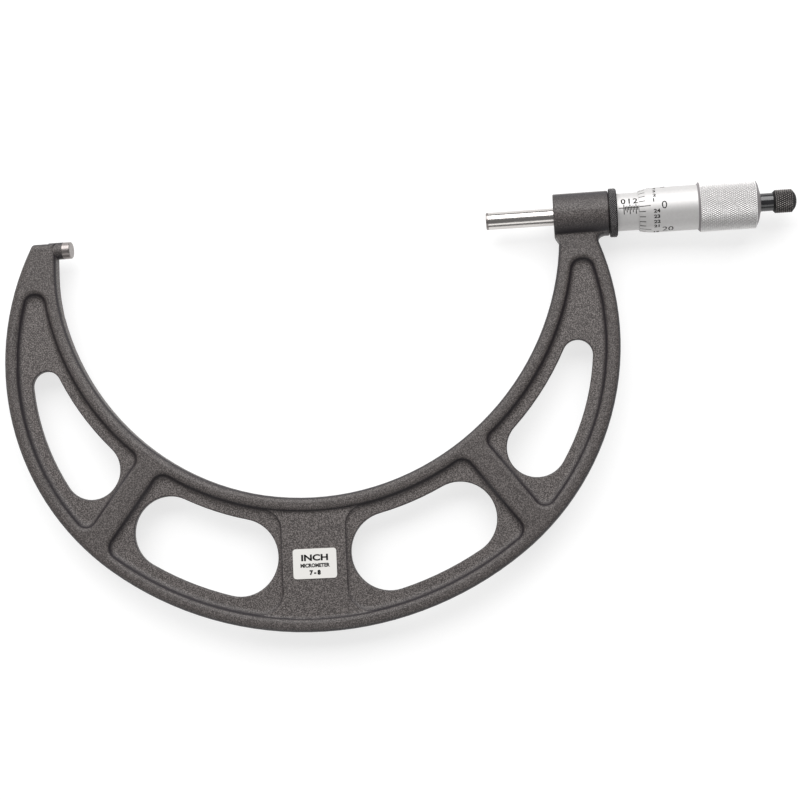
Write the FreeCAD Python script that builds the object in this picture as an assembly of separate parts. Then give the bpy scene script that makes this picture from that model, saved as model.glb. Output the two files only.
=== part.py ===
import FreeCAD, Part
import os
from math import cos, radians, sin, sqrt

# Outside micrometer for 7 to 8 inches, in millimetres, lying flat with +Z up.
# The measuring axis is the X axis: the anvil's face is at the origin and looks along +X to the spindle.
# The bow hangs from that axis towards -Y. The instrument is set to 7.250 inches.

INCH = 25.4
READING = 7.25 * INCH

# Bow, seen from above
MID_X = 103.75
THROAT_R = 111.3
THROAT_Y = -3.5
SIDE_R = 114.0
SIDE_OFFSET = 20.6
SIDE_Y = -51.1
BASE_R = 148.5
ARM_TOP = 3.1
ARM_CORNER = 1.8
ARM_INSIDE_X = -6.5
ARM_BEND_Y = -11.0
THROAT_END_Y = -11.5
SPOKE_ANGLE = 37.3
SPOKE_ARM_SIDE = 3.6
SPOKE_BASE_SIDE = 4.9
UPPER_WINDOW = (45.6, 64.05)
LOWER_WINDOW = (13.4, 27.0)
WINDOW_FROM_THROAT = 11.5
WINDOW_FROM_SIDE = 11.6
WINDOW_FROM_BASE = 11.8
POCKET_FROM_THROAT = 4.7
POCKET_FROM_SIDE = 4.8
POCKET_FROM_BASE = 4.6
POCKET_TOP = -18.3
POCKET_CORNERS = 5.7
LOWER_CORNER = 6.3

# Bow, through its thickness: half thicknesses from the middle plane
RIM_HALF = 4.3
WEB_HALF = 1.5
PAD_HALF = 2.5
RIM_ROUND = 2.6
MOUTH_ROUND = 2.3
FLOOR_ROUND = 2.8
PAD_FLOOR_ROUND = 1.4
WINDOW_ROUND = 0.6
# The pockets' walls lean out by this share of their height, up to just above the rims
WALL_LEAN = 0.7
WALL_TOP = RIM_HALF + 0.3
CUTTER_TOP = RIM_HALF + 4.0

# Centre pad and label
PAD_EDGE = 12.2
PAD_CORNERS = (10.0, 11.0)
PAD_REACH = 32.0
LABEL_SIZE = (18.8, 12.7)
LABEL_CENTRE = (103.95, -142.95)
LABEL_CORNER = 1.3
LABEL_THICK = 0.3

# Hub at the spindle end
HUB_R = 9.55
HUB_START = 213.0
HUB_END = 236.4
HUB_ROUND = 0.6
HUB_FILLET = 2.3
HUB_CORNER = (213.3, -9.15)
CREASE_ROUND = 1.0
INSIDE_HUB_Y = -4.0
GUIDE_END = 216.0
SEAT_END = 230.0
NOSE_END = 238.6
NOSE_R = 8.6
NOSE_BORE = 7.8

# Anvil
BOSS_R = 3.75
BOSS_FROM = -10.0
BOSS_TO = -3.5
POST_R = 3.7
SHANK_R = 2.5
SHANK_START = -15.9
TIP_THICK = 1.0
TIP_CHAMFER = 0.25

# Screw and barrel
RUNNING = 0.05
BARREL_R = 6.6
BARREL_TAIL_R = 6.0
BARREL_END = 286.0
TAIL_START = 271.0
SCREW_R = 4.0
SCREW_START = 248.5
SCREW_END = 293.0
NUT_START = 268.0
RELIEF_R = 4.5
RELIEF_START = 241.5
SLOT = 0.8
SLOT_COUNT = 3
FRONT_SLOTS = (228.0, 240.0)
TAIL_SLOTS = (272.0, 286.5)
TAPER_R = (3.2, 2.7)
TAPER_END = 298.0
TAPPED_R = 1.25
TAPPED_START = 286.5

# Lock
LOCK_RING = (236.7, 239.9)
LOCK_RING_R = 10.4
LOCK_RING_STEP = 239.0
LOCK_RING_EDGE = 0.2
LOCK_RING_BEVEL = (0.6, 0.7)
COLLET = (230.3, 238.9)
COLLET_R = (6.95, 7.65)
COLLET_SLIT = 1.0

# Sleeve and adjusting nut
SLEEVE = (240.0, 270.6)
SLEEVE_R = 8.0
SPANNER_HOLE_R = 0.8
SPANNER_HOLE_X = 246.0
ADJUSTER = (274.0, 281.0)
ADJUSTER_R = 7.5
NOTCH_DEPTH = 1.5
NOTCH_WIDTH = 1.4
NOTCH_COUNT = 4
NOTCH_WALL = 0.6

# Thimble
THIMBLE_START = 249.1
THIMBLE_LIP_R = 8.55
BEVEL_END = 255.0
BEVEL_SWELL = 0.16
THIMBLE_R = 9.5
THIMBLE_BORE = 8.1
THIMBLE_TAIL_R = 9.0
THIMBLE_END = 292.0
GRIP_START = 273.7
GRIP_R = 10.7
GRIP_STEP = 0.1
GRIP_SHOULDER = 274.7
GRIP_FULL_END = 297.6
GRIP_CONE = (298.9, 8.2)
GRIP_FACE_R = 4.0
GRIP_END = 300.0
GRIP_WALL = 293.6
COUNTERBORE_R = 3.6

# Ratchet
WASHER = (298.2, 298.8)
WASHER_R = (1.5, 3.4)
STEM_R = 3.8
STEM_SPIGOT_R = 3.5
STEM_SHOULDER = 305.2
STEM_TEETH = 308.2
TOOTH_HEIGHT = 0.5
TOOTH_COUNT = 12
TOOTH_R = (2.6, 3.3)
TOOTH_FILL = 0.92
CLUTCH_END = 309.9
CLUTCH_BORE = 1.75
SHOULDER_R = 1.7
KEY_R = 3.95
KEY_WIDTH = 1.2
KNOB_START = 305.25
KNOB_CHAMFER = 0.9
KNOB_R = 4.9
KNOB_FULL_END = 313.0
KNOB_BORE = 3.55
KNOB_FLOOR = (312.0, 312.5)
HEAD_R = 2.7
HEAD_END = 313.55
HEAD_CLEARANCE = 0.2
DRIVER_SLOT = (0.5, 0.6)
CAP_START = 313.7
CAP_R = 3.2
KNOB_RIM_X = 314.3
KNOB_END = 315.1
SPRING_R = 2.45
WIRE_R = 0.2
SPRING_TURNS = 3

THROUGH = 20.0
FAR = 300.0
TOLERANCE = 1e-6
ON_OUTLINE = 1e-3
NEAR_OUTLINE = 2.0

os.makedirs("parts", exist_ok=True)


def vec(x, y=0.0, z=0.0):
    return FreeCAD.Vector(x, y, z)


X_AXIS = vec(1, 0, 0)
Z_AXIS = vec(0, 0, 1)
THROAT = vec(MID_X, THROAT_Y)
SIDE = vec(MID_X - SIDE_OFFSET, SIDE_Y)
BASE = vec(MID_X, SIDE_Y + sqrt((BASE_R - SIDE_R) ** 2 - SIDE_OFFSET ** 2))


def save(name, shape):
    shape.exportStep(f"parts/{name}.step")


def rod(x0, x1, radius):
    """A cylinder along the measuring axis."""
    return Part.makeCylinder(radius, x1 - x0, vec(x0), X_AXIS)


def ring(x0, x1, outer, inner):
    return rod(x0, x1, outer).cut(rod(x0 - 1, x1 + 1, inner))


def cone(x0, x1, r0, r1):
    return Part.makeCone(r0, r1, x1 - x0, vec(x0), X_AXIS)


def turned(points):
    """A solid of revolution about the measuring axis from (x, radius) corners."""
    corners = [vec(x, r) for x, r in points]
    face = Part.Face(Part.makePolygon(corners + corners[:1]))
    return face.revolve(vec(0), X_AXIS, 360)


def disc(centre, radius, z0, z1):
    """A cylinder along Z."""
    return Part.makeCylinder(radius, z1 - z0, vec(centre.x, centre.y, z0))


def box(x0, x1, y0, y1, z0, z1):
    return Part.makeBox(x1 - x0, y1 - y0, z1 - z0, vec(x0, y0, z0))


def mirrored(shape):
    """The same shape on the other side of the bow's middle."""
    return shape.mirror(vec(MID_X), X_AXIS)


def arc(start, middle, end):
    return Part.Arc(start, middle, end).toShape()


def down(angle):
    """Direction at an angle from straight down, turning towards the anvil."""
    return vec(-sin(radians(angle)), -cos(radians(angle)))


def along(angle):
    """Direction in which that angle grows."""
    return vec(-cos(radians(angle)), sin(radians(angle)))


def on_circle(centre, radius, point):
    """The point of a circle in the direction of another point."""
    return centre + (point - centre).normalize() * radius


def side_x(y):
    """Distance of the side arc from its centre's X at a height Y."""
    return sqrt(SIDE_R ** 2 - (y - SIDE_Y) ** 2)


def throat_x(y):
    """Distance of the throat arc from the bow's middle at a height Y."""
    return sqrt(THROAT_R ** 2 - (y - THROAT_Y) ** 2)


def mirror_point(point):
    return vec(2 * MID_X - point.x, point.y)


def arm_corner():
    """The outer corner of the anvil's arm."""
    return vec(SIDE.x - side_x(ARM_TOP), ARM_TOP)


def arm_bend():
    """Centre and radius of the arc that leads from the throat into the arm's straight inner side."""
    across = MID_X - ARM_INSIDE_X
    rise = THROAT_Y - ARM_BEND_Y
    radius = (THROAT_R ** 2 - across ** 2 - rise ** 2) / (2 * (THROAT_R - across))
    return vec(ARM_INSIDE_X + radius, ARM_BEND_Y), radius


def bow_outline():
    """Closed outline of the bow plate, from the anvil's arm round the outside and back by the throat."""
    arm = arm_corner()
    low = on_circle(BASE, BASE_R, SIDE)
    fillet_y = -HUB_R - HUB_FILLET
    fillet_x = mirror_point(SIDE).x + sqrt((SIDE_R + HUB_FILLET) ** 2 - (fillet_y - SIDE_Y) ** 2)
    fillet = vec(fillet_x, fillet_y)
    neck = on_circle(mirror_point(SIDE), SIDE_R, fillet)
    under_hub = vec(fillet_x, -HUB_R)
    throat_end = vec(MID_X + throat_x(THROAT_END_Y), THROAT_END_Y)
    bend, bend_r = arm_bend()
    throat_start = on_circle(THROAT, THROAT_R, bend)
    bend_end = vec(ARM_INSIDE_X, ARM_BEND_Y)
    arm_inside = vec(ARM_INSIDE_X, ARM_TOP)
    hub_corner = vec(*HUB_CORNER)
    edges = [
        arc(arm, SIDE + vec(-SIDE_R, 0), low),
        arc(low, BASE + vec(0, -BASE_R), mirror_point(low)),
        arc(mirror_point(low), mirror_point(SIDE) + vec(SIDE_R, 0), neck),
        arc(neck, on_circle(fillet, HUB_FILLET, fillet + vec(-1, 1)), under_hub),
        Part.makeLine(under_hub, vec(under_hub.x, INSIDE_HUB_Y)),
        Part.makeLine(vec(under_hub.x, INSIDE_HUB_Y), vec(hub_corner.x, INSIDE_HUB_Y)),
        Part.makeLine(vec(hub_corner.x, INSIDE_HUB_Y), hub_corner),
        Part.makeLine(hub_corner, throat_end),
        arc(throat_end, THROAT + vec(0, -THROAT_R), throat_start),
        arc(throat_start, on_circle(bend, bend_r, (throat_start + bend_end) * 0.5), bend_end),
        Part.makeLine(bend_end, arm_inside),
        Part.makeLine(arm_inside, arm),
    ]
    return Part.Wire(edges)


def end_circle(angle, inner_r, outer_centre, outer_r):
    """Centre and radius of the circle at an angle that touches the inner and the outer arc."""
    offset = THROAT - outer_centre
    total = inner_r + outer_r
    reach = (total ** 2 - offset.dot(offset)) / (2 * (offset.dot(down(angle)) + total))
    return THROAT + down(angle) * reach, reach - inner_r


def window_outline(angles, outer_centre, outer_r):
    """A window: two long arcs beside the rims, joined by round ends."""
    inner_r = THROAT_R + WINDOW_FROM_THROAT
    low, low_r = end_circle(angles[0], inner_r, outer_centre, outer_r)
    high, high_r = end_circle(angles[1], inner_r, outer_centre, outer_r)
    middle = (angles[0] + angles[1]) / 2
    inner = [THROAT + down(a) * inner_r for a in (angles[0], middle, angles[1])]
    outer = [on_circle(outer_centre, outer_r, p) for p in (low, (low + high) * 0.5, high)]
    edges = [
        arc(*inner),
        arc(inner[2], high + along(angles[1]) * high_r, outer[2]),
        arc(outer[2], outer[1], outer[0]),
        arc(outer[0], low - along(angles[0]) * low_r, inner[0]),
    ]
    return Part.Wire(edges)


def windows():
    """The four window outlines."""
    upper = window_outline(UPPER_WINDOW, SIDE, SIDE_R - WINDOW_FROM_SIDE)
    lower = window_outline(LOWER_WINDOW, BASE, BASE_R - WINDOW_FROM_BASE)
    return [upper, lower, mirrored(upper), mirrored(lower)]


def spoke_side(start, end):
    """The space above the web beside the anvil-side spoke, between two distances from its middle."""
    block = box(start, end, -FAR, FAR, WEB_HALF, CUTTER_TOP)
    turn = FreeCAD.Rotation(vec(1, 0), along(SPOKE_ANGLE))
    block.Placement = FreeCAD.Placement(THROAT, turn)
    return block


def upright_edges(solid, height):
    """Edges of a prism that run along Z."""
    return [e for e in solid.Edges
            if abs(e.BoundBox.ZLength - height) < TOLERANCE and e.Length < height + TOLERANCE]


def flat_edges(solid, z):
    """Edges that lie in the plane at a height Z."""
    return [e for e in solid.Edges
            if abs(e.BoundBox.ZMin - z) < TOLERANCE and abs(e.BoundBox.ZMax - z) < TOLERANCE]


def distance(edge, outline):
    """How far the middle of an edge is from an outline, seen from above."""
    middle = edge.valueAt((edge.FirstParameter + edge.LastParameter) / 2)
    return outline.distToShape(Part.Vertex(middle.x, middle.y, 0))[0]


def corners_on_top(solid):
    """How many corners a cutter has at the top of its leaning walls."""
    return sum(abs(v.Z - WALL_TOP) < TOLERANCE for v in solid.Vertexes)


def lean_walls(solid, edges):
    """Leans the walls of a pocket cutter outwards from edges of its floor, which is its lowest plane."""
    height = WALL_TOP - solid.BoundBox.ZMin
    sizes = [height, height * WALL_LEAN]
    for first, second in (sizes, sizes[::-1]):
        leaning = solid.makeChamfer(first, second, edges)
        if corners_on_top(leaning) > corners_on_top(solid):
            return leaning
    raise ValueError("the walls of a pocket could not be leaned")


def pocket_tool(solid):
    """A pocket cutter above the web gets leaning walls and a round foot."""
    solid = lean_walls(solid, flat_edges(solid, WEB_HALF))
    return solid.makeFillet(FLOOR_ROUND, flat_edges(solid, WEB_HALF))


def arm_pocket(throat_side):
    pocket = disc(SIDE, SIDE_R - POCKET_FROM_SIDE, WEB_HALF, CUTTER_TOP).cut(throat_side)
    pocket = pocket.common(spoke_side(SPOKE_ARM_SIDE, FAR))
    pocket = pocket.common(box(-FAR, MID_X, -FAR, POCKET_TOP, WEB_HALF, CUTTER_TOP)).Solids[0]
    corners = upright_edges(pocket, CUTTER_TOP - WEB_HALF)
    return pocket_tool(pocket.makeFillet(POCKET_CORNERS, corners))


def base_pocket(band):
    """The pocket between the anvil-side spoke and the centre pad, with wide corners beside the pad."""
    edge = MID_X - PAD_EDGE
    pocket = band.common(spoke_side(-FAR, -SPOKE_BASE_SIDE))
    pocket = pocket.common(box(-FAR, edge, -FAR, THROAT_Y, WEB_HALF, CUTTER_TOP)).Solids[0]
    corners = upright_edges(pocket, CUTTER_TOP - WEB_HALF)
    spoke_corners = [e for e in corners if e.BoundBox.XMax < edge - TOLERANCE]
    pocket = pocket.makeFillet(LOWER_CORNER, spoke_corners)
    for radius, pick in zip(PAD_CORNERS, (max, min)):
        corners = upright_edges(pocket, CUTTER_TOP - WEB_HALF)
        pad_corners = [e for e in corners if abs(e.BoundBox.XMin - edge) < TOLERANCE]
        pocket = pocket.makeFillet(radius, [pick(pad_corners, key=lambda e: e.BoundBox.YMin)])
    return pocket_tool(pocket)


def pad_recess(band):
    """The shallow recess between the rims in which the centre pad's face lies."""
    space = box(MID_X - PAD_REACH, MID_X + PAD_REACH, -FAR, THROAT_Y, PAD_HALF, CUTTER_TOP)
    recess = band.common(space).Solids[0]
    for radius in (THROAT_R + POCKET_FROM_THROAT, BASE_R - POCKET_FROM_BASE):
        recess = lean_walls(recess, [e for e in rim_edges(recess) if abs(e.Curve.Radius - radius) < TOLERANCE])
    return recess.makeFillet(PAD_FLOOR_ROUND, rim_edges(recess))


def rim_edges(recess):
    """The long edges of the recess's floor, beside the rims."""
    return [e for e in flat_edges(recess, PAD_HALF) if e.BoundBox.XLength > PAD_REACH]


def pockets():
    """Cutters for the front face: a pocket in each arm, two in the base, and the recess between them."""
    throat_side = disc(THROAT, THROAT_R + POCKET_FROM_THROAT, WEB_HALF, CUTTER_TOP)
    band = disc(BASE, BASE_R - POCKET_FROM_BASE, WEB_HALF, CUTTER_TOP).cut(throat_side)
    arm = arm_pocket(throat_side)
    low = base_pocket(band)
    return [arm, mirrored(arm), pad_recess(band), low, mirrored(low)]


def front_and_back(shapes):
    return shapes + [s.mirror(vec(0), Z_AXIS) for s in shapes]


def bow():
    """The bow plate with its pockets, windows and rounded edges."""
    outline = bow_outline()
    plate = Part.Face(outline).extrude(vec(0, 0, 2 * RIM_HALF))
    plate.translate(vec(0, 0, -RIM_HALF))
    corner = [e for e in plate.Edges if distance(e, Part.Vertex(arm_corner())) < ON_OUTLINE]
    plate = plate.makeFillet(ARM_CORNER, corner)
    for cutter in front_and_back(pockets()):
        plate = plate.cut(cutter)
    plate = plate.removeSplitter()
    faces = flat_edges(plate, RIM_HALF) + flat_edges(plate, -RIM_HALF)
    mouths = [e for e in faces if distance(e, outline) > NEAR_OUTLINE]
    plate = plate.makeFillet(MOUTH_ROUND, mouths)
    faces = flat_edges(plate, RIM_HALF) + flat_edges(plate, -RIM_HALF)
    rims = [e for e in faces if distance(e, outline) < NEAR_OUTLINE and not in_hub(e)]
    plate = plate.makeFillet(RIM_ROUND, rims)
    for wire in windows():
        cutter = Part.Face(wire).extrude(vec(0, 0, THROUGH))
        cutter.translate(vec(0, 0, -THROUGH / 2))
        plate = plate.cut(cutter)
    faces = flat_edges(plate, WEB_HALF) + flat_edges(plate, -WEB_HALF)
    edges = [e for e in faces if min(distance(e, wire) for wire in windows()) < ON_OUTLINE]
    return plate.makeFillet(WINDOW_ROUND, edges)


def in_hub(edge):
    """Edges that end up inside the hub or beside its corner."""
    limits = edge.BoundBox
    beside = limits.XMin > HUB_START and limits.XMax < HUB_END
    return beside and limits.YMin > -HUB_R - HUB_FILLET and limits.YMax < 0


def frame():
    body = bow()
    hub = rod(HUB_START, HUB_END, HUB_R)
    hub = hub.makeFillet(HUB_ROUND, [e for e in hub.Edges if e.BoundBox.XLength < TOLERANCE])
    boss = rod(BOSS_FROM, BOSS_TO, BOSS_R)
    body = body.fuse([hub, boss, rod(HUB_END - 1, NOSE_END, NOSE_R)]).removeSplitter()
    crease_y = -sqrt(HUB_R ** 2 - RIM_HALF ** 2)
    flat = flat_edges(body, RIM_HALF) + flat_edges(body, -RIM_HALF)
    crease = [e for e in flat if abs(e.BoundBox.YMin - crease_y) < ON_OUTLINE and e.Length > HUB_R]
    body = body.makeFillet(CREASE_ROUND, crease)
    body = body.cut([
        rod(SHANK_START, BOSS_TO + 1, SHANK_R),
        rod(HUB_START - 1, GUIDE_END + 1, POST_R + RUNNING),
        rod(GUIDE_END, SEAT_END, BARREL_R),
        cone(SEAT_END, HUB_END, COLLET_R[0] + RUNNING, NOSE_BORE),
        rod(HUB_END, NOSE_END + 1, NOSE_BORE),
    ])
    return body.removeSplitter()


def chamfered_tip(face_x, inner_x):
    """A measuring disc: its face is at face_x and its back at inner_x."""
    step = TIP_CHAMFER if inner_x > face_x else -TIP_CHAMFER
    return turned([
        (face_x, 0),
        (face_x, POST_R - TIP_CHAMFER),
        (face_x + step, POST_R),
        (inner_x, POST_R),
        (inner_x, 0),
    ])


def anvil():
    return rod(SHANK_START, BOSS_TO, SHANK_R).fuse(rod(BOSS_TO, -TIP_THICK, POST_R)).removeSplitter()


def range_label():
    width, height = LABEL_SIZE
    x0 = LABEL_CENTRE[0] - width / 2
    y0 = LABEL_CENTRE[1] - height / 2
    plate = box(x0, x0 + width, y0, y0 + height, PAD_HALF, PAD_HALF + LABEL_THICK)
    return plate.makeFillet(LABEL_CORNER, upright_edges(plate, LABEL_THICK))


def slots(x0, x1, width, count, reach):
    """Radial slots, evenly spaced round the axis."""
    blade = box(x0, x1, -width / 2, width / 2, 0, reach)
    blades = []
    for i in range(count):
        turned_blade = blade.copy()
        turned_blade.rotate(vec(0), X_AXIS, i * 360.0 / count)
        blades.append(turned_blade)
    return blades


def inner_barrel():
    body = rod(GUIDE_END, TAIL_START, BARREL_R).fuse(rod(TAIL_START, BARREL_END, BARREL_TAIL_R))
    body = body.cut([
        rod(GUIDE_END - 1, RELIEF_START, POST_R + RUNNING),
        rod(RELIEF_START, NUT_START, RELIEF_R),
        rod(NUT_START, BARREL_END + 1, SCREW_R + RUNNING),
    ])
    for span in (FRONT_SLOTS, TAIL_SLOTS):
        body = body.cut(slots(*span, SLOT, SLOT_COUNT, 2 * BARREL_R))
    return body.removeSplitter()


def adjusting_nut():
    body = ring(*ADJUSTER, ADJUSTER_R, BARREL_TAIL_R + RUNNING)
    notches = slots(ADJUSTER[1] - NOTCH_DEPTH, ADJUSTER[1] + 1, NOTCH_WIDTH, NOTCH_COUNT, 2 * ADJUSTER_R)
    keep = rod(ADJUSTER[0], ADJUSTER[1], BARREL_TAIL_R + NOTCH_WALL)
    return body.cut([n.cut(keep) for n in notches])


def lock_collet():
    body = cone(COLLET[0], HUB_END, COLLET_R[0], COLLET_R[1]).fuse(rod(HUB_END, COLLET[1], COLLET_R[1]))
    body = body.cut(rod(COLLET[0] - 1, COLLET[1] + 1, BARREL_R + RUNNING))
    return body.cut(slots(COLLET[0] - 1, COLLET[1] + 1, COLLET_SLIT, 1, THROUGH)).removeSplitter()


def lock_ring():
    x0, x1 = LOCK_RING
    return turned([
        (x0, NOSE_R + RUNNING),
        (x0, LOCK_RING_R - LOCK_RING_EDGE),
        (x0 + LOCK_RING_EDGE, LOCK_RING_R),
        (x1 - LOCK_RING_BEVEL[0], LOCK_RING_R),
        (x1, LOCK_RING_R - LOCK_RING_BEVEL[1]),
        (x1, BARREL_R + 2 * RUNNING),
        (LOCK_RING_STEP, BARREL_R + 2 * RUNNING),
        (LOCK_RING_STEP, NOSE_R + RUNNING),
    ])


def sleeve():
    body = ring(*SLEEVE, SLEEVE_R, BARREL_R + RUNNING)
    hole = Part.makeCylinder(SPANNER_HOLE_R, THROUGH, vec(SPANNER_HOLE_X, 0, -THROUGH), Z_AXIS)
    return body.cut(hole)


def spindle():
    body = turned([
        (READING + TIP_THICK, 0),
        (READING + TIP_THICK, POST_R),
        (SCREW_START, POST_R),
        (SCREW_START, SCREW_R),
        (SCREW_END, SCREW_R),
        (SCREW_END, TAPER_R[0]),
        (TAPER_END, TAPER_R[1]),
        (TAPER_END, 0),
    ])
    return body.cut(rod(TAPPED_START, TAPER_END + 1, TAPPED_R))


def thimble():
    """Graduated tube: its front edge is bevelled down to the sleeve and blends into the barrel."""
    lip = vec(THIMBLE_START, THIMBLE_LIP_R)
    full = vec(BEVEL_END, THIMBLE_R)
    swell = vec((THIMBLE_START + BEVEL_END) / 2, (THIMBLE_LIP_R + THIMBLE_R) / 2 + BEVEL_SWELL)
    corners = [
        full,
        vec(GRIP_START, THIMBLE_R),
        vec(GRIP_START, THIMBLE_TAIL_R),
        vec(THIMBLE_END, THIMBLE_TAIL_R),
        vec(THIMBLE_END, THIMBLE_BORE),
        vec(THIMBLE_START, THIMBLE_BORE),
        lip,
    ]
    edges = [Part.makeLine(a, b) for a, b in zip(corners, corners[1:])]
    face = Part.Face(Part.Wire([arc(lip, swell, full)] + edges))
    return face.revolve(vec(0), X_AXIS, 360)


def thimble_grip():
    return turned([
        (GRIP_START, THIMBLE_TAIL_R),
        (GRIP_START, THIMBLE_R + GRIP_STEP),
        (GRIP_SHOULDER, GRIP_R),
        (GRIP_FULL_END, GRIP_R),
        GRIP_CONE,
        (GRIP_END, GRIP_FACE_R),
        (GRIP_END, COUNTERBORE_R),
        (TAPER_END, COUNTERBORE_R),
        (TAPER_END, TAPER_R[1]),
        (SCREW_END, TAPER_R[0]),
        (SCREW_END, SCREW_R + RUNNING),
        (GRIP_WALL, SCREW_R + RUNNING),
        (GRIP_WALL, THIMBLE_BORE),
        (THIMBLE_END, THIMBLE_BORE),
        (THIMBLE_END, THIMBLE_TAIL_R),
    ])


def tooth_ring(base_x, direction):
    """Saw teeth round a face: each rises along X from base_x in the given direction."""
    pitch = 360.0 / TOOTH_COUNT
    inner, outer = TOOTH_R
    width = 2 * inner * sin(radians(pitch / 2)) * TOOTH_FILL
    tip = base_x + direction * (TOOTH_HEIGHT - RUNNING)
    near = -width / 2 * direction
    corners = [vec(base_x, near, inner), vec(base_x, -near, inner), vec(tip, near, inner)]
    tooth = Part.Face(Part.makePolygon(corners + corners[:1])).extrude(vec(0, 0, outer - inner))
    teeth = []
    for i in range(TOOTH_COUNT):
        one = tooth.copy()
        one.rotate(vec(0), X_AXIS, i * pitch)
        teeth.append(one)
    return teeth


def ratchet_stem():
    body = rod(WASHER[1], GRIP_END, STEM_SPIGOT_R)
    body = body.fuse([
        rod(GRIP_END, STEM_SHOULDER, STEM_R),
        rod(STEM_SHOULDER, STEM_TEETH, STEM_SPIGOT_R),
    ])
    body = body.fuse(tooth_ring(STEM_TEETH, 1))
    return body.cut(rod(WASHER[0], STEM_TEETH + 1, TAPPED_R + RUNNING)).removeSplitter()


def ratchet_clutch():
    face_x = STEM_TEETH + TOOTH_HEIGHT
    body = rod(face_x, CLUTCH_END, KNOB_BORE - RUNNING)
    keys = box(face_x, CLUTCH_END, -KEY_R + RUNNING, KEY_R - RUNNING, -KEY_WIDTH / 2, KEY_WIDTH / 2)
    body = body.fuse([keys] + tooth_ring(face_x, -1))
    return body.cut(rod(STEM_TEETH, CLUTCH_END + 1, CLUTCH_BORE)).removeSplitter()


def ratchet_knob():
    body = turned([
        (KNOB_START, KNOB_BORE),
        (KNOB_START, KNOB_R - KNOB_CHAMFER),
        (KNOB_START + KNOB_CHAMFER, KNOB_R),
        (KNOB_FULL_END, KNOB_R),
        (KNOB_RIM_X, CAP_R),
        (CAP_START, CAP_R),
        (CAP_START, HEAD_R + HEAD_CLEARANCE),
        (KNOB_FLOOR[1], HEAD_R + HEAD_CLEARANCE),
        (KNOB_FLOOR[1], CLUTCH_BORE),
        (KNOB_FLOOR[0], CLUTCH_BORE),
        (KNOB_FLOOR[0], KNOB_BORE),
    ])
    half_key = KEY_WIDTH / 2 + RUNNING
    keyway = box(STEM_TEETH, KNOB_FLOOR[0], -KEY_R, KEY_R, -half_key, half_key)
    return body.cut(keyway)


def ratchet_spring():
    """Coil spring between the knob's floor and the clutch."""
    length = KNOB_FLOOR[0] - CLUTCH_END - 2 * WIRE_R
    start = CLUTCH_END + WIRE_R
    path = Part.makeHelix(length / SPRING_TURNS, length, SPRING_R)
    path.rotate(vec(0), vec(0, 1, 0), 90)
    path.translate(vec(start))
    first = path.Edges[0]
    wire = Part.Wire(Part.makeCircle(WIRE_R, first.valueAt(first.FirstParameter),
                                     first.tangentAt(first.FirstParameter)))
    return Part.Wire(path.Edges).makePipeShell([wire], True, True)


def ratchet_screw():
    body = turned([
        (TAPPED_START + 1, 0),
        (TAPPED_START + 1, TAPPED_R),
        (STEM_TEETH, TAPPED_R),
        (STEM_TEETH, SHOULDER_R),
        (KNOB_FLOOR[1], SHOULDER_R),
        (KNOB_FLOOR[1], HEAD_R),
        (HEAD_END, HEAD_R),
        (HEAD_END, 0),
    ])
    depth, width = DRIVER_SLOT
    return body.cut(box(HEAD_END - depth, HEAD_END + 1, -HEAD_R - 1, HEAD_R + 1, -width / 2, width / 2))


def ratchet_cap():
    """Domed plug that closes the end of the knob: a short cylinder cut off by a sphere."""
    rise = KNOB_END - KNOB_RIM_X
    dome_r = (CAP_R ** 2 + rise ** 2) / (2 * rise)
    return rod(CAP_START, KNOB_END, CAP_R).common(Part.makeSphere(dome_r, vec(KNOB_END - dome_r)))


save("frame", frame())
save("anvil", anvil())
save("anvil_tip", chamfered_tip(0, -TIP_THICK))
save("range_label", range_label())
save("inner_barrel", inner_barrel())
save("adjusting_nut", adjusting_nut())
save("lock_collet", lock_collet())
save("lock_ring", lock_ring())
save("sleeve", sleeve())
save("spindle", spindle())
save("spindle_tip", chamfered_tip(READING, READING + TIP_THICK))
save("thimble", thimble())
save("thimble_grip", thimble_grip())
save("thimble_washer", ring(*WASHER, WASHER_R[1], WASHER_R[0]))
save("ratchet_stem", ratchet_stem())
save("ratchet_clutch", ratchet_clutch())
save("ratchet_knob", ratchet_knob())
save("ratchet_spring", ratchet_spring())
save("ratchet_screw", ratchet_screw())
save("ratchet_cap", ratchet_cap())
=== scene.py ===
"""The looks of an outside micrometer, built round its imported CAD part.

Lengths are in metres, X is the measuring axis and +Z is up.
"""

from collections import namedtuple
from math import cos, pi, radians, sin, tau

import bmesh
import bpy
from mathutils import Matrix, Vector
from mathutils.bvhtree import BVHTree


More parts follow.
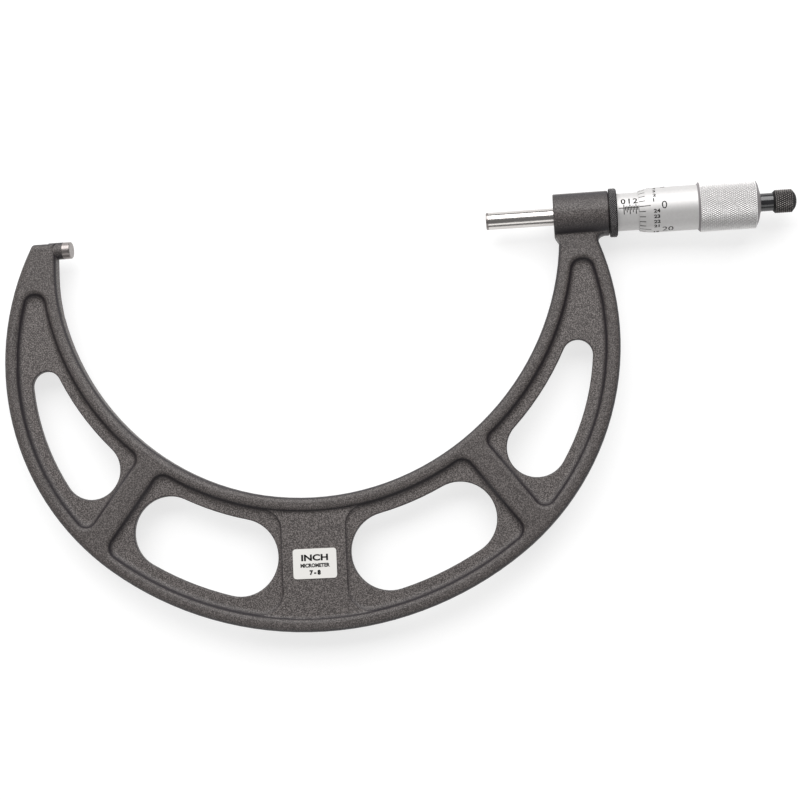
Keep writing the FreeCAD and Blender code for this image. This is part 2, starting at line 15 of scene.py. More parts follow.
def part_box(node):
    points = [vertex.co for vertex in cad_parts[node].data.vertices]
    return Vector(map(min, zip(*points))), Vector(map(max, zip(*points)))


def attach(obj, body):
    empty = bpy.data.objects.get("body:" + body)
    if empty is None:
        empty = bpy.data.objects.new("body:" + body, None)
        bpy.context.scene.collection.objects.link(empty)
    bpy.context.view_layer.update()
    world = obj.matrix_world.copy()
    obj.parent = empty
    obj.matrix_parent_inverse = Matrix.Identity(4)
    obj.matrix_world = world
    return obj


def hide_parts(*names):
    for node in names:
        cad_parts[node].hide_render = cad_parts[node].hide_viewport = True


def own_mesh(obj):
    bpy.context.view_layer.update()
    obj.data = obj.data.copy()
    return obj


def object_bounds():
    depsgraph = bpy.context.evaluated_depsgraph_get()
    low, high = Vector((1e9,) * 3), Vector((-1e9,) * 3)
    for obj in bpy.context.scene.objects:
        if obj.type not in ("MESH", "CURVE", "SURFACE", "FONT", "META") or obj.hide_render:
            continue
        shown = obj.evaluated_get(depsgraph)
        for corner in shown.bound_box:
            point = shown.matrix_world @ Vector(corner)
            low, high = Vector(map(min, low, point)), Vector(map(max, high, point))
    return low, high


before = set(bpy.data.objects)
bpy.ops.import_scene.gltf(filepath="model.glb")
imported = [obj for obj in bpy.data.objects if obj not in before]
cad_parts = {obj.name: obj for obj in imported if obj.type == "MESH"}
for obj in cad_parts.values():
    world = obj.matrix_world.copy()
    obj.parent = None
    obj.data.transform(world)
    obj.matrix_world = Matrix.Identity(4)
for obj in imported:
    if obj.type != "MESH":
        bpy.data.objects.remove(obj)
CAD_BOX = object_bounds()

MM = 0.001
INCH = 25.4 * MM

# Camera: nearly straight above the hub, tipped a little to take in the bow
CAMERA_PLACE = (0.2153, -0.1418, 0.6566)
CAMERA_TURNS = (("Y", 6.261), ("X", 5.777), ("Z", -2.637))
LENS_MM = 69.69

# Softboxes: direction from the micrometer, size in metres, power in watts
KEY_LIGHT = ((-0.06, 0.93, 0.96), (2.2, 1.1), 32)
LOW_LIGHT = ((0.1, -1.5, 1.0), (2.4, 0.5), 5)
LIGHT_DISTANCE = 1.3
WORLD_STRENGTH = 0.19

# The floor glows a little, so that it stays pale under a soft light
FLOOR_SIZE = 60
FLOOR_MIDDLE = (0.1, -0.08)
FLOOR_CLOUD = 40 * MM
FLOOR_DARK = (0.33, 0.33, 0.33)
FLOOR_LIGHT = (0.35, 0.35, 0.35)
FLOOR_GLOW = 0.7

# Graduations on the sleeve: each tick has a length towards +Y and one towards -Y of the line.
# A style is the weight of the strokes, the alignment and the width.
SCREW_PITCH = INCH / 40
SLEEVE_ZERO_X = 242.75 * MM
SLEEVE_LINE_START = 0.5 * MM
SLEEVE_TICKS = 40
TENTH_TICK = (1.4 * MM, 2.75 * MM)
TWENTIETH_TICK = (0.85 * MM, 2.0 * MM)
FORTIETH_TICK = (0.6 * MM, 1.1 * MM)
SLEEVE_TICK_WIDTH = 0.38 * MM
SLEEVE_LINE_WIDTH = 0.32 * MM
SLEEVE_NUMBER_HEIGHT = 2.55 * MM
SLEEVE_NUMBER_RISE = 3.0 * MM
SLEEVE_NUMBER_BACK = 0.2 * MM
SLEEVE_NUMBER_STYLE = (0.02, "CENTER", 1.2)

# Graduations on the thimble. Every fifth tick is long and has a large number.
THIMBLE_PARTS = 25
THIMBLE_TICK_START = 0.05 * MM
THIMBLE_TICK = 2.6 * MM
THIMBLE_LONG_TICK = 4.8 * MM
THIMBLE_TICK_WIDTH = 0.34 * MM
THIMBLE_SMALL_X = 5.9 * MM
THIMBLE_SMALL_HEIGHT = 1.6 * MM
THIMBLE_SMALL_STYLE = (0.035, "LEFT", 1.3)
THIMBLE_LARGE_X = 9.4 * MM
THIMBLE_LARGE_HEIGHT = 3.3 * MM
THIMBLE_LARGE_STYLE = (0.0, "LEFT", 1.05)

# Print on the label: text, middle and height as shares of the label's, weight, width
LABEL_ROWS = (
    ("INCH", 0.70, 0.22, 0.04, 1.35),
    ("MICROMETER", 0.44, 0.135, 0.05, 0.95),
    ("7 - 8", 0.20, 0.17, 0.075, 1.0),
)

# How far marks stand out of the surface and reach into it. To follow the surface, they are cut
# into steps of MARK_STEP round the axis, and twice that along it.
MARK_OUT = 0.015 * MM
MARK_IN = 0.03 * MM
MARK_STEP = 0.25 * MM
MERGE_DISTANCE = 1e-7
CUT_TOLERANCE = 1e-8
LETTER_CURVE_STEPS = 4

# Diamond knurls: (diamonds round the piece, half rows along it)
GRIP_KNURL = (76, 28)
LOCK_RING_KNURL = (74, 6)
KNOB_KNURL = (36, 8)
KNURL_DEPTH = 0.26 * MM
CREST_FLAT = 0.22  # the flat share of a diamond's length and width
SMOOTH_BELOW = radians(25)

# The spring in the knob, and the radius of its wire
SPRING_TURNS = 3
SPRING_STEPS = 24
SPRING_SIDES = 10
SPRING_WIRE = 0.2 * MM

# Enamel of the bow
GRAIN_SIZE = 0.46 * MM
GRAIN_BUMP = 0.2 * MM
GRAIN_SPOTS = (0.44, 0.66)
PATCH_SIZE = 9 * MM
ENAMEL_DARK = (0.026, 0.0206, 0.0197)
ENAMEL_LIGHT = (0.043, 0.0355, 0.0340)
ENAMEL_FLECK = (0.200, 0.178, 0.170)
# Painted shade: the darker colour that the sloping walls of the pockets get, standing in for
# shade
ENAMEL_WALL_SHADE = (0.016, 0.0125, 0.0155)

# Where the enamel changes. Heights are over the bow's middle plane, and a slope is the upright
# part of the normal: 1 on level ground, 0 on an upright wall.
PAD_TO_RIM = (2.7 * MM, 4.0 * MM)
RIM_FLECKS = 0.72
RIM_EDGE_STARTS = (3.3 * MM, 3.9 * MM)
RIM_EDGE_ENDS = (4.35 * MM, 4.6 * MM)
# These slopes bound the painted shade on the pocket walls: level ground and upright walls stay
# unshaded
LEVEL_SLOPES = (0.6, 0.995)
UPRIGHT_SLOPES = (0.15, 0.45)

# The part of a noise texture's range that most of its values lie in
NOISE_RANGE = (0.3, 0.7)

# Shares of a material's own colour or roughness
STEEL_CLOUDS = 0.82
STEEL_LINES = (0.8, 1.25)
KNURL_WEAR = (0.85, 1.05)
GROOVE_ROUGHNESS = 1.5
PAINT_MOTTLE = 1.8

Span = namedtuple("Span", "start end radius")


# ---------------------------------------------------------------- meshes

def add_object(name, mesh, body, material):
    """A finished mesh becomes a piece that rides on a CAD body."""
    piece = bpy.data.objects.new(name, mesh)
    bpy.context.scene.collection.objects.link(piece)
    mesh.materials.append(material)
    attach(piece, body)
    return piece


def to_mesh(bm, name):
    mesh = bpy.data.meshes.new(name)
    bm.to_mesh(mesh)
    bm.free()
    return mesh


def span(node):
    """Where a turned CAD node starts and ends along the axis, and its radius."""
    low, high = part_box(node)
    return Span(low.x, high.x, high.z)


# ---------------------------------------------------------------- knurled pieces

def around_axis(x, radius, angle):
    """A point round the measuring axis. Angle 0 is +Z and the angle grows towards +Y."""
    return Vector((x, radius * sin(angle), radius * cos(angle)))


def knurl_point(bm, made, key, x, radius, angle):
    if key not in made:
        made[key] = bm.verts.new(around_axis(x, radius, angle))
    return made[key]


def knurled(name, x0, x1, radius, pattern, loop):
    """A closed turned mesh with a band of diamonds from x0 to x1.

    loop holds the rest of the section as (x, radius) corners, from the end of the band
    round through the bore and back to the start of the band.
    """
    diamonds, half_rows = pattern
    bm = bmesh.new()
    made = {}
    step_x = (x1 - x0) / half_rows
    step_a = pi / diamonds
    columns = 2 * diamonds

    def corner(row, column):
        """A corner between diamonds, at the bottom of the grooves."""
        column %= columns
        x = x0 + row * step_x
        angle = column * step_a
        return knurl_point(bm, made, ("corner", row, column), x, radius - KNURL_DEPTH, angle)

    def crest(row, column, along, across):
        """A corner of a diamond's flat top: along the axis or across it."""
        x = x0 + (row + along * CREST_FLAT) * step_x
        angle = (column + across * CREST_FLAT) * step_a
        key = ("crest", row, column, along, across)
        return knurl_point(bm, made, key, x, radius, angle)

    for row in range(half_rows + 1):
        for column in range(row % 2, columns, 2):
            up, up_foot = crest(row, column, 0, 1), corner(row, column + 1)
            low, low_foot = crest(row, column, 0, -1), corner(row, column - 1)
            sides = []
            if row < half_rows:
                sides.append((crest(row, column, 1, 0), corner(row + 1, column)))
            if row > 0:
                sides.append((crest(row, column, -1, 0), corner(row - 1, column)))
            for top, foot in sides:
                bm.faces.new((up, up_foot, foot, top))
                bm.faces.new((low, top, foot, low_foot))
            tops = [top for top, foot in sides]
            bm.faces.new([up, tops[0], low] + tops[1:])
    band = set(bm.faces)

    def border(row):
        """The band's edge at its first or last row, in the order of the angle."""
        verts = []
        for column in range(row % 2, columns, 2):
            verts += [crest(row, column, 0, -1), crest(row, column, 0, 1)]
            verts.append(corner(row, column + 1))
        return verts

    first, last = border(0), border(half_rows)
    angles = []
    for column in range(0, columns, 2):
        places = (column - CREST_FLAT, column + CREST_FLAT, column + 1)
        angles += [place * step_a for place in places]
    rings = [last]
    for x, r in loop:
        rings.append([bm.verts.new(around_axis(x, r, angle)) for angle in angles])
    rings.append(first)
    for ring, after in zip(rings, rings[1:]):
        for i in range(len(angles)):
            j = (i + 1) % len(angles)
            face = bm.faces.new((ring[i], ring[j], after[j], after[i]))
            face.smooth = True
    bmesh.ops.recalc_face_normals(bm, faces=bm.faces)
    for edge in bm.edges:
        in_band = any(face in band for face in edge.link_faces)
        edge.smooth = not in_band and edge.calc_face_angle(0) < SMOOTH_BELOW
    return to_mesh(bm, name)


def make_grip(material):
    start, end, radius = span("thimble_grip")
    screw_bore = span("spindle").radius + 0.05 * MM
    counterbore = 3.6 * MM
    taper_start, taper_end = end - 7.0 * MM, end - 2.0 * MM
    wall = end - 6.4 * MM
    thimble_bore = 8.1 * MM
    thimble_tail = 9.0 * MM
    thimble_end = span("thimble").end
    x0 = start + 1.0 * MM
    x1 = end - 2.5 * MM
    loop = [
        (x1 + 0.12 * MM, radius - 0.02 * MM),
        (end - 1.1 * MM, 8.2 * MM),
        (end, 4.0 * MM),
        (end, counterbore),
        (taper_end, counterbore),
        (taper_end, 2.7 * MM),
        (taper_start, 3.2 * MM),
        (taper_start, screw_bore),
        (wall, screw_bore),
        (wall, thimble_bore),
        (thimble_end, thimble_bore),
        (thimble_end, thimble_tail),
        (start, thimble_tail),
        (start, 9.6 * MM),
        (start + 0.8 * MM, radius - 0.3 * MM),
        (x0 - 0.06 * MM, radius - 0.14 * MM),
    ]
    mesh = knurled("knurled_grip", x0, x1, radius, GRIP_KNURL, loop)
    piece = add_object("knurled_grip", mesh, "thimble", material)
    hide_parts("thimble_grip")


def make_lock_ring(material):
    start, end, radius = span("lock_ring")
    barrel_bore = 6.7 * MM
    nose_bore = 8.65 * MM
    step = end - 0.9 * MM
    x0 = start + 0.25 * MM
    x1 = end - 0.6 * MM
    loop = [
        (end, radius - 0.7 * MM),
        (end, barrel_bore),
        (step, barrel_bore),
        (step, nose_bore),
        (start, nose_bore),
        (start, radius - 0.3 * MM),
    ]
    mesh = knurled("knurled_lock_ring", x0, x1, radius, LOCK_RING_KNURL, loop)
    piece = add_object("knurled_lock_ring", mesh, "lock_ring", material)
    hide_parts("lock_ring")


def make_knob(material):
    start, end, radius = span("ratchet_knob")
    cap_bore = 3.2 * MM
    head_bore = 2.9 * MM
    screw_bore = 1.75 * MM
    clutch_bore = 3.55 * MM
    cap_start = end - 0.6 * MM
    floor_start, floor_end = end - 2.3 * MM, end - 1.8 * MM
    x0 = start + 0.95 * MM
    x1 = end - 1.35 * MM
    loop = [
        (end, cap_bore),
        (cap_start, cap_bore),
        (cap_start, head_bore),
        (floor_end, head_bore),
        (floor_end, screw_bore),
        (floor_start, screw_bore),
        (floor_start, clutch_bore),
        (start, clutch_bore),
        (start, radius - 0.9 * MM),
        (start + 0.85 * MM, radius - 0.08 * MM),
    ]
    mesh = knurled("knurled_knob", x0, x1, radius, KNOB_KNURL, loop)
    piece = add_object("knurled_knob", mesh, "ratchet_knob", material)
    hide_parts("ratchet_knob")


def make_spring(material):
    """The coil spring in the knob, which the clutch hops against."""
    low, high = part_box("ratchet_spring")
    coil = high.y - SPRING_WIRE
    length = high.x - low.x - 2 * SPRING_WIRE
    steps = SPRING_TURNS * SPRING_STEPS
    along = Vector((SPRING_WIRE, 0, 0))
    turns = [k / SPRING_SIDES * tau for k in range(SPRING_SIDES)]
    bm = bmesh.new()
    rings = []
    for i in range(steps + 1):
        angle = i / SPRING_STEPS * tau
        centre = around_axis(low.x + SPRING_WIRE + i / steps * length, coil, angle)
        outward = around_axis(0, SPRING_WIRE, angle)
        points = [centre + cos(turn) * outward + sin(turn) * along for turn in turns]
        rings.append([bm.verts.new(point) for point in points])
    for ring, after in zip(rings, rings[1:]):
        for k in range(SPRING_SIDES):
            face = bm.faces.new((ring[k], ring[k - 1], after[k - 1], after[k]))
            face.smooth = True
    bm.faces.new(rings[0])
    bm.faces.new(rings[-1])
    bmesh.ops.recalc_face_normals(bm, faces=bm.faces)
    mesh = to_mesh(bm, "coil_spring")
    piece = add_object("coil_spring", mesh, "ratchet_knob", material)
    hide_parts("ratchet_spring")
    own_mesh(piece)


# ---------------------------------------------------------------- graduations and numbers

def bar(bm, u0, u1, v0, v1):
    """A flat mark in the unrolled plane: u along the axis, v round it, w out of the surface."""
    size = Vector((u1 - u0, v1 - v0, MARK_OUT + MARK_IN))
    centre = Vector(((u0 + u1) / 2, (v0 + v1) / 2, (MARK_OUT - MARK_IN) / 2))
    matrix = Matrix.Translation(centre) @ Matrix.Diagonal((*size, 1))
    bmesh.ops.create_cube(bm, size=1, matrix=matrix)


def letters(bm, text, u, v, height, weight, align, width):
    """Text in the unrolled plane. v is the middle of its height; weight thickens the strokes."""
    font = bpy.data.curves.new("letters", "FONT")
    font.body = text
    font.align_x = align
    font.size = 1.0
    font.extrude = 0.5  # makes it 1 thick, which is then scaled
    font.offset = weight
    font.resolution_u = LETTER_CURVE_STEPS
    holder = bpy.data.objects.new("letters", font)
    bpy.context.scene.collection.objects.link(holder)
    graph = bpy.context.evaluated_depsgraph_get()
    mesh = bpy.data.meshes.new_from_object(holder.evaluated_get(graph))
    bpy.data.objects.remove(holder)
    bpy.data.curves.remove(font)
    low = min(vertex.co.y for vertex in mesh.vertices)
    high = max(vertex.co.y for vertex in mesh.vertices)
    left = min(vertex.co.x for vertex in mesh.vertices) if align == "LEFT" else 0.0
    scale = height / (high - low)
    thick = MARK_OUT + MARK_IN
    place = (
        Matrix.Translation((u, v, (MARK_OUT - MARK_IN) / 2))
        @ Matrix.Diagonal((scale * width, scale, thick, 1))
        @ Matrix.Translation((-left, -(low + high) / 2, 0))
    )
    mesh.transform(place)
    bm.from_mesh(mesh)
    bpy.data.meshes.remove(mesh)


def cut_in_steps(bm, axis, step):
    """Cuts every face at regular steps, so that it can follow a curved surface."""
    values = [vertex.co[axis] for vertex in bm.verts]
    normal = Vector((0, 0, 0))
    normal[axis] = 1
    value = min(values) + step
    while value < max(values):
        geometry = bm.verts[:] + bm.edges[:] + bm.faces[:]
        plane = {"plane_co": normal * value, "plane_no": normal}
        bmesh.ops.bisect_plane(bm, geom=geometry, dist=CUT_TOLERANCE, **plane)
        value += step


def surface_of(node):
    mesh = bmesh.new()
    mesh.from_mesh(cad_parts[node].data)
    tree = BVHTree.FromBMesh(mesh)
    mesh.free()
    return tree


def marks_on(name, bm, node, material):
    """Rolls flat marks round a turned CAD node, whose body has the same name."""
    radius = span(node).radius
    bmesh.ops.remove_doubles(bm, verts=bm.verts, dist=MERGE_DISTANCE)
    cut_in_steps(bm, 1, MARK_STEP)
    cut_in_steps(bm, 0, 2 * MARK_STEP)
    tree = surface_of(node)
    for vertex in bm.verts:
        u, v, w = vertex.co
        angle = v / radius
        outward = around_axis(0, 1, angle)
        above = around_axis(u, 2 * radius, angle)
        place = tree.ray_cast(above, -outward)[0]
        vertex.co = place + outward * w
    bmesh.ops.recalc_face_normals(bm, faces=bm.faces)
    add_object(name, to_mesh(bm, name), node, material)


def make_sleeve_marks(material):
    sleeve = span("sleeve")
    bm = bmesh.new()
    line_start, line_end = sleeve.start + SLEEVE_LINE_START, sleeve.end - SLEEVE_LINE_START
    bar(bm, line_start, line_end, -SLEEVE_LINE_WIDTH / 2, SLEEVE_LINE_WIDTH / 2)
    for i in range(SLEEVE_TICKS + 1):
        if i % 4 == 0:
            above, below = TENTH_TICK
        elif i % 2 == 0:
            above, below = TWENTIETH_TICK
        else:
            above, below = FORTIETH_TICK
        x = SLEEVE_ZERO_X + i * SCREW_PITCH
        x0, x1 = x - SLEEVE_TICK_WIDTH / 2, x + SLEEVE_TICK_WIDTH / 2
        bar(bm, x0, x1, SLEEVE_LINE_WIDTH / 2, above)
        bar(bm, x0, x1, -below, -SLEEVE_LINE_WIDTH / 2)
    marks_on("sleeve_graduations", bm, "sleeve", material)
    numbers = bmesh.new()
    for i in range(0, SLEEVE_TICKS + 1, 4):
        text = str(i // 4 % 10)
        x = SLEEVE_ZERO_X + i * SCREW_PITCH - SLEEVE_NUMBER_BACK
        letters(numbers, text, x, SLEEVE_NUMBER_RISE, SLEEVE_NUMBER_HEIGHT, *SLEEVE_NUMBER_STYLE)
    marks_on("sleeve_numbers", numbers, "sleeve", material)


def make_thimble_marks(material):
    thimble = span("thimble")
    start = thimble.start
    large_x, small_x = start + THIMBLE_LARGE_X, start + THIMBLE_SMALL_X
    bm = bmesh.new()
    numbers = bmesh.new()
    for i in range(THIMBLE_PARTS):
        v = i * tau / THIMBLE_PARTS * thimble.radius
        v0, v1 = v - THIMBLE_TICK_WIDTH / 2, v + THIMBLE_TICK_WIDTH / 2
        if i % 5 == 0:
            bar(bm, start + THIMBLE_TICK_START, start + THIMBLE_LONG_TICK, v0, v1)
            letters(numbers, str(i), large_x, v, THIMBLE_LARGE_HEIGHT, *THIMBLE_LARGE_STYLE)
        else:
            bar(bm, start + THIMBLE_TICK_START, start + THIMBLE_TICK, v0, v1)
            letters(numbers, str(i), small_x, v, THIMBLE_SMALL_HEIGHT, *THIMBLE_SMALL_STYLE)
    marks_on("thimble_graduations", bm, "thimble", material)
    marks_on("thimble_numbers", numbers, "thimble", material)


def make_label_print(material):
    low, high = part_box("range_label")
    middle = (low.x + high.x) / 2
    label_height = high.y - low.y
    bm = bmesh.new()
    for text, place, height, weight, width in LABEL_ROWS:
        v = low.y + place * label_height
        letters(bm, text, middle, v, height * label_height, weight, "CENTER", width)
    bmesh.ops.remove_doubles(bm, verts=bm.verts, dist=MERGE_DISTANCE)
    bmesh.ops.translate(bm, verts=bm.verts, vec=(0, 0, high.z))
    bmesh.ops.recalc_face_normals(bm, faces=bm.faces)
    add_object("label_print", to_mesh(bm, "label_print"), "frame", material)


# ---------------------------------------------------------------- materials

class Shader:
    """A Principled material and short ways to add nodes to it."""

    def __init__(self, name, **values):
        self.material = bpy.data.materials.new(name)
        self.material.use_nodes = True
        self.tree = self.material.node_tree
        self.surface = self.tree.nodes["Principled BSDF"]
        for socket, value in values.items():
            self.surface.inputs[socket.replace("_", " ")].default_value = value

    def add(self, kind, **values):
        node = self.tree.nodes.new(kind)
        for name, value in values.items():
            setattr(node, name, value)
        return node

    def link(self, source, target):
        self.tree.links.new(source, target)

    def place(self, cell, stretch=(1, 1, 1)):
        """Object coordinates, measured in cells of that size, longer by stretch along an axis."""
        coordinates = self.add("ShaderNodeTexCoord")
        mapping = self.add("ShaderNodeMapping")
        mapping.inputs["Scale"].default_value = [1 / (cell * s) for s in stretch]
        self.link(coordinates.outputs["Object"], mapping.inputs["Vector"])
        return mapping.outputs["Vector"]

    def noise(self, cell, stretch=(1, 1, 1), detail=3.0, roughness=0.55):
        texture = self.add("ShaderNodeTexNoise")
        texture.inputs["Scale"].default_value = 1.0
        texture.inputs["Detail"].default_value = detail
        texture.inputs["Roughness"].default_value = roughness
        self.link(self.place(cell, stretch), texture.inputs["Vector"])
        return texture.outputs["Fac"]

    def from_to(self, value, source, target):
        """Maps the range source, as (low, high), onto the range target, and holds its ends."""
        node = self.add("ShaderNodeMapRange")
        sockets = ("From Min", "From Max", "To Min", "To Max")
        for socket, number in zip(sockets, (*source, *target)):
            node.inputs[socket].default_value = number
        self.link(value, node.inputs["Value"])
        return node.outputs["Result"]

    def mix(self, factor, first, second):
        """Mixes two colours, each given as a colour or an output."""
        node = self.add("ShaderNodeMix", data_type="RGBA")
        self.link(factor, node.inputs["Factor"])
        for socket, colour in ((node.inputs[6], first), (node.inputs[7], second)):
            if isinstance(colour, tuple):
                socket.default_value = (*colour, 1)
            else:
                self.link(colour, socket)
        return node.outputs[2]

    def maths(self, operation, first, second=0.0):
        """A sum on two values, each given as a number or an output."""
        node = self.add("ShaderNodeMath", operation=operation)
        for socket, value in zip(node.inputs, (first, second)):
            if isinstance(value, (int, float)):
                socket.default_value = value
            else:
                self.link(value, socket)
        return node.outputs[0]

    def bump(self, height, distance, strength=1.0):
        node = self.add("ShaderNodeBump")
        node.inputs["Strength"].default_value = strength
        node.inputs["Distance"].default_value = distance
        self.link(height, node.inputs["Height"])
        self.link(node.outputs["Normal"], self.surface.inputs["Normal"])

    def radius(self):
        """Distance from the measuring axis."""
        coordinates = self.add("ShaderNodeTexCoord")
        flat = self.add("ShaderNodeVectorMath", operation="MULTIPLY")
        flat.inputs[1].default_value = (0, 1, 1)
        length = self.add("ShaderNodeVectorMath", operation="LENGTH")
        self.link(coordinates.outputs["Object"], flat.inputs[0])
        self.link(flat.outputs["Vector"], length.inputs[0])
        return length.outputs["Value"]

    def absolute_z(self, output):
        """The Z part of an output of the texture coordinates, without its sign."""
        coordinates = self.add("ShaderNodeTexCoord")
        parts = self.add("ShaderNodeSeparateXYZ")
        self.link(coordinates.outputs[output], parts.inputs["Vector"])
        return self.maths("ABSOLUTE", parts.outputs["Z"])

    def slope(self):
        """1 where the surface lies flat, down to 0 where it stands upright."""
        return self.absolute_z("Normal")

    def rise(self):
        """Distance above or below the middle plane."""
        return self.absolute_z("Object")

    def set(self, socket, output):
        self.link(output, self.surface.inputs[socket])


def enamel():
    """Dark warm grey wrinkle enamel over a sand casting.

    Its flecks are weaker on the rims, where hands rub it. Painted shade darkens the sloping
    walls of the pockets, but not the upright walls or the rounded edges of the rims.
    """
    shader = Shader("frame_enamel", Metallic=0.0, Specular_IOR_Level=0.5)
    grain = shader.noise(GRAIN_SIZE, roughness=0.6)
    patches = shader.noise(PATCH_SIZE, detail=4.0)
    rise = shader.rise()
    spots = shader.from_to(grain, GRAIN_SPOTS, (0.0, 1.0))
    rubbed = shader.from_to(rise, PAD_TO_RIM, (1.0, RIM_FLECKS))
    fleck = shader.maths("MULTIPLY", spots, rubbed)
    ground = shader.mix(patches, ENAMEL_DARK, ENAMEL_LIGHT)
    flecked = shader.mix(fleck, ground, ENAMEL_FLECK)
    # Painted shade: sloping pocket walls get the darker wall colour; level ground, upright walls
    # and the rims' edges keep the flecked colour
    slope = shader.slope()
    level = shader.from_to(slope, LEVEL_SLOPES, (0.0, 1.0))
    upright = shader.from_to(slope, UPRIGHT_SLOPES, (1.0, 0.0))
    above_wall = shader.from_to(rise, RIM_EDGE_STARTS, (0.0, 1.0))
    below_hub = shader.from_to(rise, RIM_EDGE_ENDS, (1.0, 0.0))
    rim = shader.maths("MULTIPLY", above_wall, below_hub)
    clear = shader.maths("MAXIMUM", shader.maths("MAXIMUM", level, upright), rim)
    shader.set("Base Color", shader.mix(clear, ENAMEL_WALL_SHADE, flecked))
    shader.set("Roughness", shader.from_to(grain, NOISE_RANGE, (0.58, 0.40)))
    shader.bump(grain, GRAIN_BUMP)
    return shader.material


def steel(name, colour, roughness, line_width=0.05 * MM):
    """Bare steel with fine grinding lines that run round the axis."""
    shader = Shader(name, Metallic=1.0)
    lines = shader.noise(line_width, stretch=(1, 40, 40), detail=2.0)
    cloud = shader.noise(2.5 * MM, stretch=(3, 1, 1), detail=4.0)
    dark = tuple(STEEL_CLOUDS * c for c in colour)
    shader.set("Base Color", shader.mix(cloud, dark, colour))
    spread = tuple(roughness * share for share in STEEL_LINES)
    shader.set("Roughness", shader.from_to(lines, NOISE_RANGE, spread))
    shader.bump(lines, 0.004 * MM, 0.5)
    return shader.material


def satin_chrome():
    shader = Shader("satin_chrome", Metallic=0.75)
    grit = shader.noise(0.09 * MM, detail=2.0)
    cloud = shader.noise(1.2 * MM, detail=4.0)
    shader.set("Base Color", shader.mix(cloud, (0.56, 0.55, 0.545), (0.65, 0.64, 0.635)))
    shader.set("Roughness", shader.from_to(grit, NOISE_RANGE, (0.54, 0.66)))
    shader.bump(grit, 0.008 * MM, 0.6)
    return shader.material


def knurl(name, crest, groove, radii, metallic, roughness):
    """A knurled finish: darker in the grooves, and brighter where hands have rubbed the crests.
    On the chrome knurl the darkness of the grooves is painted shade, with some dirt.

    radii are where the groove's colour ends and where the crest's starts.
    """
    shader = Shader(name, Metallic=metallic)
    wear = shader.from_to(shader.noise(1.6 * MM), NOISE_RANGE, KNURL_WEAR)
    height = shader.from_to(shader.radius(), radii, (0.0, 1.0))
    crest_wear_and_groove_shade = shader.maths("MULTIPLY", height, wear)
    shader.set("Base Color", shader.mix(crest_wear_and_groove_shade, groove, crest))
    spread = (roughness * GROOVE_ROUGHNESS, roughness)
    shader.set("Roughness", shader.from_to(crest_wear_and_groove_shade, (0.0, 1.0), spread))
    shader.bump(shader.noise(0.06 * MM, detail=2.0), 0.006 * MM, 0.5)
    return shader.material


def gloss_black():
    shader = Shader("gloss_black", Metallic=0.0, Specular_IOR_Level=0.8)
    lines = shader.noise(0.08 * MM, stretch=(1, 30, 30), detail=2.0)
    cloud = shader.noise(1.5 * MM)
    shader.set("Base Color", shader.mix(cloud, (0.010, 0.010, 0.012), (0.022, 0.021, 0.024)))
    shader.set("Roughness", shader.from_to(lines, NOISE_RANGE, (0.14, 0.24)))
    shader.bump(lines, 0.003 * MM, 0.5)
    return shader.material


def label_white():
    shader = Shader("label_white", Specular_IOR_Level=0.4)
    fibre = shader.noise(0.2 * MM)
    shader.set("Base Color", shader.mix(fibre, (0.69, 0.675, 0.65), (0.77, 0.755, 0.73)))
    shader.set("Roughness", shader.from_to(fibre, NOISE_RANGE, (0.42, 0.55)))
    shader.bump(fibre, 0.01 * MM, 0.4)
    return shader.material


def mark_paint(name, colour):
    """Paint in the engraved lines, or ink on the label."""
    shader = Shader(name, Specular_IOR_Level=0.1)
    mottle = shader.noise(0.15 * MM)
    light = tuple(PAINT_MOTTLE * c for c in colour)
    shader.set("Base Color", shader.mix(mottle, colour, light))
    shader.set("Roughness", shader.from_to(mottle, NOISE_RANGE, (0.8, 0.95)))
    shader.bump(mottle, 0.005 * MM, 0.4)
    return shader.material


def give(material, *nodes):
    """A CAD node keeps its shape and gets a material."""
    for node in nodes:
        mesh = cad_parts[node].data
        mesh.materials.clear()
        mesh.materials.append(material)


# ---------------------------------------------------------------- stage, light and camera

def make_floor():
    place = (*FLOOR_MIDDLE, CAD_BOX[0].z)
    bpy.ops.mesh.primitive_plane_add(size=FLOOR_SIZE, location=place)
    floor = bpy.context.object
    floor.name = "floor"
    glow = {"Emission_Color": (1, 1, 1, 1), "Emission_Strength": FLOOR_GLOW}
    shader = Shader("floor", Roughness=0.9, **glow)
    shader.set("Base Color", shader.mix(shader.noise(FLOOR_CLOUD), FLOOR_DARK, FLOOR_LIGHT))
    floor.data.materials.append(shader.material)


def make_world():
    world = bpy.data.worlds.new("studio")
    world.use_nodes = True
    background = world.node_tree.nodes["Background"]
    background.inputs["Color"].default_value = (1, 1, 1, 1)
    background.inputs["Strength"].default_value = WORLD_STRENGTH
    bpy.context.scene.world = world


def softbox(name, direction, size, power):
    """A rectangular light that faces the middle of the micrometer."""
    target = (CAD_BOX[0] + CAD_BOX[1]) / 2
    data = bpy.data.lights.new(name, "AREA")
    data.shape = "RECTANGLE"
    data.size, data.size_y = size
    data.energy = power
    light = bpy.data.objects.new(name, data)
    bpy.context.scene.collection.objects.link(light)
    light.location = target + Vector(direction).normalized() * LIGHT_DISTANCE
    light.rotation_euler = (target - light.location).to_track_quat("-Z", "Y").to_euler()


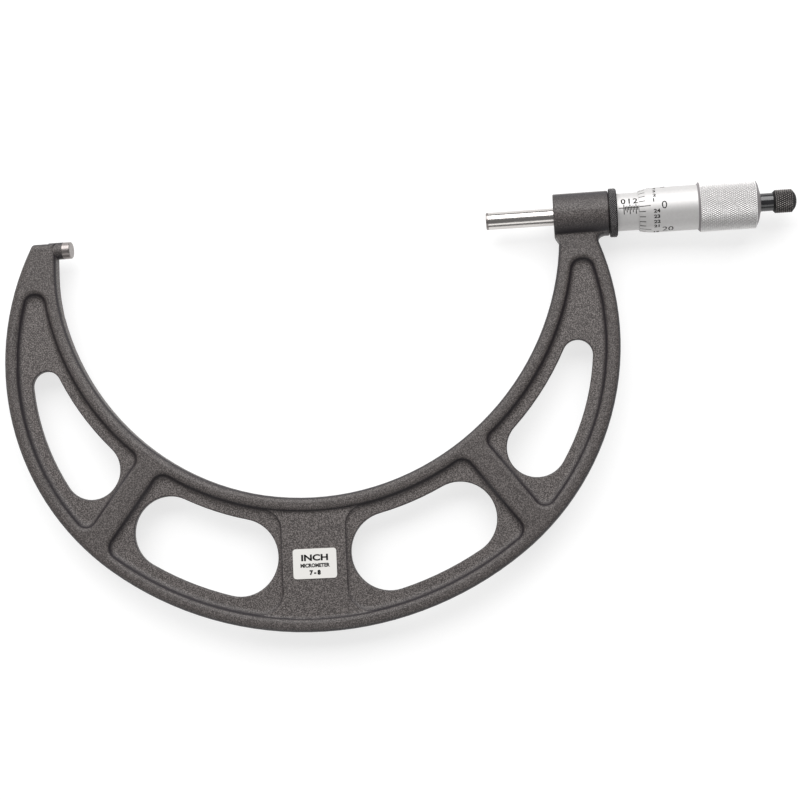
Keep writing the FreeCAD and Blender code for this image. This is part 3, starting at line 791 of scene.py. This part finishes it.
def make_camera():
    data = bpy.data.cameras.new("camera")
    data.lens = LENS_MM
    camera = bpy.data.objects.new("camera", data)
    bpy.context.scene.collection.objects.link(camera)
    turn = Matrix.Identity(4)
    for axis, degrees in CAMERA_TURNS:
        turn = turn @ Matrix.Rotation(radians(degrees), 4, axis)
    camera.matrix_world = Matrix.Translation(CAMERA_PLACE) @ turn
    bpy.context.scene.camera = camera


# ---------------------------------------------------------------- the micrometer

CHROME = satin_chrome()
GROUND_STEEL = steel("ground_steel", (0.68, 0.65, 0.63), 0.2)
ANVIL_STEEL = steel("anvil_steel", (0.34, 0.31, 0.30), 0.4)
CARBIDE = steel("carbide", (0.32, 0.295, 0.285), 0.36)
MACHINED = steel("machined_steel", (0.45, 0.45, 0.45), 0.35, 0.12 * MM)
BLACK = knurl("black_oxide_knurl", crest=(0.28, 0.26, 0.25), groove=(0.012, 0.011, 0.011),
              radii=(4.75 * MM, 4.84 * MM), metallic=0.5, roughness=0.42)
BLACK_RING = knurl("black_oxide_ring", crest=(0.50, 0.48, 0.48), groove=(0.004, 0.0035, 0.005),
                   radii=(10.30 * MM, 10.36 * MM), metallic=0.3, roughness=0.5)
# Painted shade: the chrome knurl's dark groove colour stands in for shade in the grooves, with
# some dirt
KNURLED_CHROME = knurl("chrome_knurl", crest=(0.90, 0.89, 0.88), groove=(0.27, 0.255, 0.26),
                       radii=(10.46 * MM, 10.56 * MM), metallic=0.4, roughness=0.42)
GLOSS = gloss_black()
PAINT = mark_paint("engraved_paint", (0.012, 0.011, 0.010))
INK = mark_paint("label_ink", (0.008, 0.008, 0.008))

give(enamel(), "frame")
give(GROUND_STEEL, "spindle")
give(ANVIL_STEEL, "anvil")
give(CARBIDE, "anvil_tip", "spindle_tip")
give(CHROME, "sleeve", "thimble")
give(label_white(), "range_label")
give(GLOSS, "ratchet_stem")
give(BLACK, "ratchet_cap")
give(MACHINED, "inner_barrel", "lock_collet", "adjusting_nut", "thimble_washer", "ratchet_clutch",
     "ratchet_screw")

make_grip(KNURLED_CHROME)
make_lock_ring(BLACK_RING)
make_knob(BLACK)
make_spring(MACHINED)
make_sleeve_marks(PAINT)
make_thimble_marks(PAINT)
make_label_print(INK)

make_floor()
make_world()
softbox("key", *KEY_LIGHT)
softbox("low", *LOW_LIGHT)
make_camera()
bpy.context.scene.view_settings.view_transform = "Standard"
